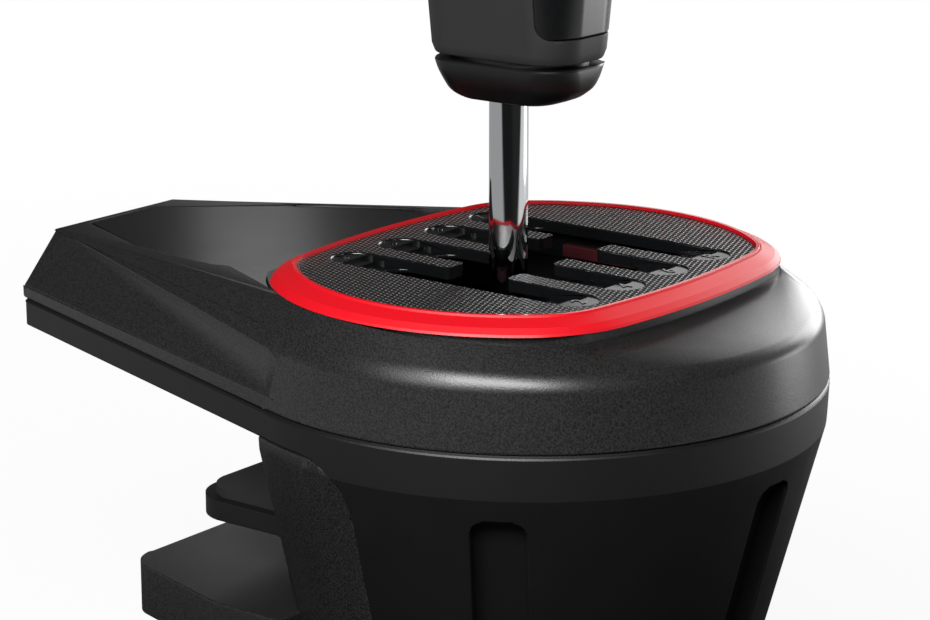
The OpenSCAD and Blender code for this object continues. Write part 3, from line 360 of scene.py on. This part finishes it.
def gate_line(grow, corner):
    """Points round the plate's outline, grown outwards: two round sides and two bows with rounded corners."""
    arc_steps, bend_steps = 24, 12
    side_x, bow_y = plate_r - side_r, plate_half - plate_bow
    span, side, bow = math.hypot(side_x, bow_y), side_r + grow, plate_bow + grow
    # where a side's arc meets a bow, from the triangle of both centres and the meeting point
    turn = math.acos((span ** 2 + bow ** 2 - side ** 2) / (2 * span * bow))
    bow_end = math.atan2(-bow_y, side_x) - turn
    meet = Vector((bow * math.cos(bow_end), bow_y + bow * math.sin(bow_end)))
    side_end = math.atan2(meet.y, meet.x - side_x)
    trim_side, trim_bow = side_end - corner / side, bow_end + corner / bow
    side_turns = [trim_side * i / arc_steps for i in range(arc_steps + 1)]
    bow_turns = [trim_bow + (math.pi / 2 - trim_bow) * i / arc_steps for i in range(arc_steps + 1)]
    arc = [Vector((side_x + side * math.cos(a), side * math.sin(a))) for a in side_turns]
    top = [Vector((bow * math.cos(a), bow_y + bow * math.sin(a))) for a in bow_turns]
    shares = [i / bend_steps for i in range(1, bend_steps)]
    bend = [arc[-1] * (1 - t) ** 2 + meet * 2 * t * (1 - t) + top[0] * t ** 2 for t in shares]
    quarter = arc + bend + top
    half = quarter + [Vector((-q.x, q.y)) for q in reversed(quarter[:-1])]
    outline = half + [Vector((q.x, -q.y)) for q in reversed(half[1:-1])]
    return [Vector((q.x, q.y + plate_shift)) for q in outline]


def flat_at(face, level):
    """Whether a face lies level and no lower than a height, to a twentieth of a millimetre."""
    return face.normal.z > 0.99 and face.calc_center_median().z > level - 0.00005


ring_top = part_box("trim_ring")[1][2]
# the ring's section: how far out from the plate's outline, and how high
section = (
    (0.0002, ring_low),
    (0.0073, ring_low),
    (0.0070, ring_low + 0.0006),
    (0.0056, plate_top - 0.0013),
    (0.0054, plate_top - 0.00122),
    (0.0017, plate_top + 0.0002),
    (0.0014, plate_top),
    (0.0012, ring_top - 0.0001),
    (0.0011, ring_top),
    (0.0002, ring_top),
)
corner_size, corner_growth = 0.006, 0.8
form = bmesh.new()
hoops = []
for grow, level in section:
    line = gate_line(grow, corner_size + grow * corner_growth)
    hoop = [form.verts.new((q.x, q.y, level)) for q in line]
    hoops.append([form.edges.new((hoop[i - 1], hoop[i])) for i in range(len(hoop))])
for hoop, beyond in zip(hoops, hoops[1:] + hoops[:1]):
    bmesh.ops.bridge_loops(form, edges=hoop + beyond)
bmesh.ops.recalc_face_normals(form, faces=form.faces)
for face in form.faces:
    face.material_index = 1 if flat_at(face, ring_top) else 0
shown(form, "trim_ring", red_abs, bright_red, crease=15)
shown(rounded("gate_buffers", 0.0003), "gate_buffers", slot_shaded_red)


# Gate plate: one moulding in black ABS with the slots, the fingers and the number pads, held from below by
# screws through the tray. A woven relief covers its flat top; the slots' walls, steps and pads are smooth.
# Strands 1.5 mm apart cross picks 3.2 mm apart, askew to the gate, so the top breaks the light into dots.
strand_pitch, pick_pitch, weave_depth = 0.0015, 0.0032, 0.00021
woven_abs, tree, shader = finish_of("woven_grain_black_abs")
place = put(tree, "SeparateXYZ", {0: put(tree, "TexCoord").outputs["Object"]})
waves = []
for run, pitch in (("SUBTRACT", strand_pitch), ("ADD", pick_pitch)):
    along = put(tree, "Math", {0: place.outputs[0], 1: place.outputs[1]}, operation=run)
    # one step along the diagonal changes the sum or difference of x and y by the root of two
    turns = put(tree, "Math", {0: along.outputs[0], 1: 2 * math.pi / (math.sqrt(2) * pitch)},
                operation="MULTIPLY")
    waves.append(put(tree, "Math", {0: turns.outputs[0]}, operation="COSINE"))
knots = put(tree, "Math", {0: waves[0].outputs[0], 1: waves[1].outputs[0]}, operation="MULTIPLY")
bump = put(tree, "Bump", {"Strength": 1.0, "Distance": weave_depth, "Height": knots.outputs[0]})
tree.links.new(bump.outputs[0], shader.inputs["Normal"])
shader.inputs["Base Color"].default_value = linear("#121212")
shader.inputs["Roughness"].default_value = 0.34
shader.inputs["IOR"].default_value = 1.53
# a finely finished mould gives the pads and walls a soft shine beside the woven top
pad_abs = moulded_skin("smooth_black_abs", "#0d0e0f", "#101112", 0.0004, 0.000003, (0.17, 0.22))
# edges above rim_low get the larger rounding and those below step_high the smaller, as the slots are narrow
rim_low, rim_r = plate_top - 0.0006, 0.00045
step_high, step_r = plate_top - 0.0012, 0.0003
sharp = long_sharp(28, 0.0004)
form = merged("gate_plate")
round_edges(form, rim_r, 3, lambda e: sharp(e) and min(v.co.z for v in e.verts) > rim_low)
round_edges(form, step_r, 2, lambda e: sharp(e) and max(v.co.z for v in e.verts) < step_high)
for face in form.faces:
    face.material_index = 0 if flat_at(face, plate_top) else 1
shown(form, "gate_plate", woven_abs, pad_abs)


# Tongue panel, tray, socket, knob cap and sensor: mouldings in polished black ABS. The panel is let into the
# tongue's top, the tray hangs in the casing's window, and the cap lies in a recess in the knob's top.
# The polished mould's skin mirrors the room in a deep black; handling has taken some of the panels' polish.
gloss_abs = moulded_skin("polished_black_abs", "#0b0c0d", "#0e0f10", 0.002, 0.000001, (0.10, 0.14))
panel_abs = moulded_skin("half_gloss_black_abs", "#0b0c0d", "#0e0f10", 0.002, 0.000001, (0.21, 0.25))
shown(rounded("tongue_panel", 0.0004, least=0.0005), "tongue_panel", panel_abs)
for node in ("gate_tray", "data_socket", "knob_cap", "hall_sensor"):
    shown(rounded(node, 0.0003, least=0.0005), node, gloss_abs)


# Gear numbers: low strokes moulded with the plate on the outer level of its pads, polished like the tray, and
# read from the driver's side. Odd gears lie ahead, even gears and R behind.
figure_height, stroke_rise, stroke_round = 0.0056, 0.0001, 0.00008
gate_pitch, odd_y, even_y, pad_level = 0.0196, 0.0387, -0.0363, plate_top - 0.0004


def numeral(mark, x, y):
    """Moulds one gear's figure on its pad."""
    curve = bpy.data.curves.new("gear_" + mark, "FONT")
    curve.body = mark
    curve.size = figure_height
    curve.align_x = "CENTER"
    curve.align_y = "CENTER"
    curve.extrude = stroke_rise
    curve.bevel_depth = stroke_round
    curve.bevel_resolution = 1
    figure = bpy.data.objects.new("gear_text_" + mark, curve)
    scene.collection.objects.link(figure)
    mesh = bpy.data.meshes.new_from_object(figure)
    bpy.data.objects.remove(figure)
    mesh.transform(Matrix.Translation((x, y, pad_level)))
    mesh.materials.clear()
    mesh.materials.append(gloss_abs)
    piece = bpy.data.objects.new("gear_number_" + mark, mesh)
    scene.collection.objects.link(piece)
    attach(piece, "housing")


for column, (odd, even) in enumerate(("12", "34", "56", "7R")):
    across = (column - 1.5) * gate_pitch
    numeral(odd, across, odd_y)
    numeral(even, across, even_y)


# Lever rod: 10 mm round steel bar, ground, polished and plated with bright chrome. A set screw holds it in
# the hub below, and the knob's insert sits on it above.
# Chrome mirrors the room almost sharply; wiping leaves faint patches of about 4 mm.
wipe_size, rod_chamfer = 0.004, 0.0008
chrome, tree, shader = finish_of("bright_chrome_plate")
place = put(tree, "TexCoord").outputs["Object"]
wipe = put(tree, "TexNoise", {"Vector": place, "Scale": 1 / wipe_size, "Detail": 3.0})
shine = put(tree, "MapRange", {"Value": wipe.outputs["Fac"], "To Min": 0.03, "To Max": 0.07})
tree.links.new(shine.outputs[0], shader.inputs["Roughness"])
shader.inputs["Base Color"].default_value = linear("#e2e4e6")
shader.inputs["Metallic"].default_value = 1.0
low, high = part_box("lever_rod")
rod_r = (high[0] - low[0]) / 2
form = bmesh.new()
bmesh.ops.create_cone(form, cap_ends=True, segments=128, radius1=rod_r, radius2=rod_r, depth=high[2] - low[2],
                      matrix=Matrix.Translation([(a + b) / 2 for a, b in zip(low, high)]))
rims = [e for e in form.edges if e.calc_face_angle(0) > 1]
bmesh.ops.bevel(form, geom=rims, offset=rod_chamfer, affect="EDGES", segments=3, profile=0.5, material=-1)
shown(form, "lever_rod", chrome)


# Knob: a moulded grip in soft-touch lacquer, a satin collar under it, and a half-gloss panel let into the
# grip on the driver's side. The brass insert inside holds the grip on the rod.
# The lacquer spreads the light into a soft dull grey, and the collar's satin skin keeps a darker shine.
soft_touch = moulded_skin("soft_touch_charcoal_lacquer", "#202020", "#252525", 0.0004, 0.00001, (0.52, 0.58))
satin_abs = moulded_skin("satin_black_abs", "#0d0e0f", "#111213", 0.0005, 0.00001, (0.34, 0.38))
grip_low, grip_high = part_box("knob_grip")
grip_top, level_slack = grip_high[2], 0.0005
grip_r, collar_r = 0.0005, 0.0010
# the grip's two level edges at the top: the brim of the cap's recess and the brow 6 mm lower
grip_edges = ((grip_top, 0.0009), (grip_top - 0.006, 0.0025))
# the top keeps its triangles, because a whole face there would close the cap's recess
form = merged("knob_grip", grip_top - level_slack)
for level, width in grip_edges:
    round_edges(form, width, 4, lambda e: all(abs(v.co.z - level) < level_slack for v in e.verts)
                and math.radians(20) < e.calc_face_angle(0) < math.radians(70))
round_edges(form, grip_r, 2, long_sharp(30, 0.0006))
shown(form, "knob_grip", soft_touch)

form = merged("knob_collar")
round_edges(form, collar_r, 3, lambda e: abs(e.verts[0].co.z - e.verts[1].co.z) < 1e-5
            and e.calc_face_angle(0) > math.radians(8))
# a dark core fills the groove between the collar and the grip, so that no light shows through it
core_inset, core_overlap = 0.0015, 0.0003
low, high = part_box("knob_collar")
core_place = Vector(((low[0] + high[0]) / 2, (low[1] + high[1]) / 2, (high[2] + grip_low[2]) / 2))
core_size = Vector(((high[0] - low[0]) / 2 - core_inset, (high[1] - low[1]) / 2 - core_inset,
                    grip_low[2] - high[2] + 2 * core_overlap))
bmesh.ops.create_cone(form, cap_ends=True, segments=64, radius1=1, radius2=1, depth=1,
                      matrix=Matrix.LocRotScale(core_place, None, core_size))
shown(form, "knob_collar", satin_abs)

# the panel's upper end keeps its triangles too, because it is a narrow curved strip
panel_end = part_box("knob_panel")[1][2] - 0.0004
shown(rounded("knob_panel", 0.0004, limit=30, least=0.0003, below=panel_end), "knob_panel", panel_abs)


# Pads of the clamp: moulded black rubber. One is glued into a recess under the tongue, the other on the shoe.
# Rubber has almost no shine, so the pads look flat and dark grey.
rubber = moulded_skin("moulded_black_rubber", "#161616", "#1a1a1a", 0.0006, 0.00002, (0.75, 0.85))
for node in ("seat_pad", "shoe_pad"):
    shown(rounded(node, 0.0005), node, rubber)


# Pins, screws, bushes, inserts and boards: zinc-plated steel, turned brass and lacquered circuit boards,
# mostly inside the housing. They are shown as their own solids, which only get their finish here.
def turned_metal(name, colour, gloss):
    """Bare or plated metal whose polish changes over marks of about 3 mm."""
    mark_size = 0.003
    material, tree, shader = finish_of(name)
    place = put(tree, "TexCoord").outputs["Object"]
    wipe = put(tree, "TexNoise", {"Vector": place, "Scale": 1 / mark_size, "Detail": 3.0})
    shine = put(tree, "MapRange", {"Value": wipe.outputs["Fac"], "To Min": gloss[0], "To Max": gloss[1]})
    tree.links.new(shine.outputs[0], shader.inputs["Roughness"])
    shader.inputs["Base Color"].default_value = linear(colour)
    shader.inputs["Metallic"].default_value = 1.0
    return material


# the plate looks pale and cloudy, and the turned brass yellow with a soft shine
zinc = turned_metal("zinc_plated_steel", "#b4b8bc", (0.25, 0.40))
brass = turned_metal("turned_brass", "#c79a3e", (0.22, 0.36))
# the lacquer is paler over the copper tracks, about 2 mm wide
track_size = 0.002
lacquer, tree, shader = finish_of("green_board_lacquer")
place = put(tree, "TexCoord").outputs["Object"]
tracks = put(tree, "TexNoise", {"Vector": place, "Scale": 1 / track_size, "Detail": 1.0})
tone = put(tree, "Mix", {0: tracks.outputs["Fac"], 6: linear("#14502c"), 7: linear("#1f6b3d")},
           data_type="RGBA")
tree.links.new(tone.outputs[2], shader.inputs["Base Color"])
shader.inputs["Roughness"].default_value = 0.3
finish_for = {"zinc_steel": zinc, "brass": brass, "circuit_board": lacquer}
for node, slot in slot_of.items():
    if slot in finish_for:
        solid = frame["nodes"][node].data
        solid.materials.clear()
        solid.materials.append(finish_for[slot])
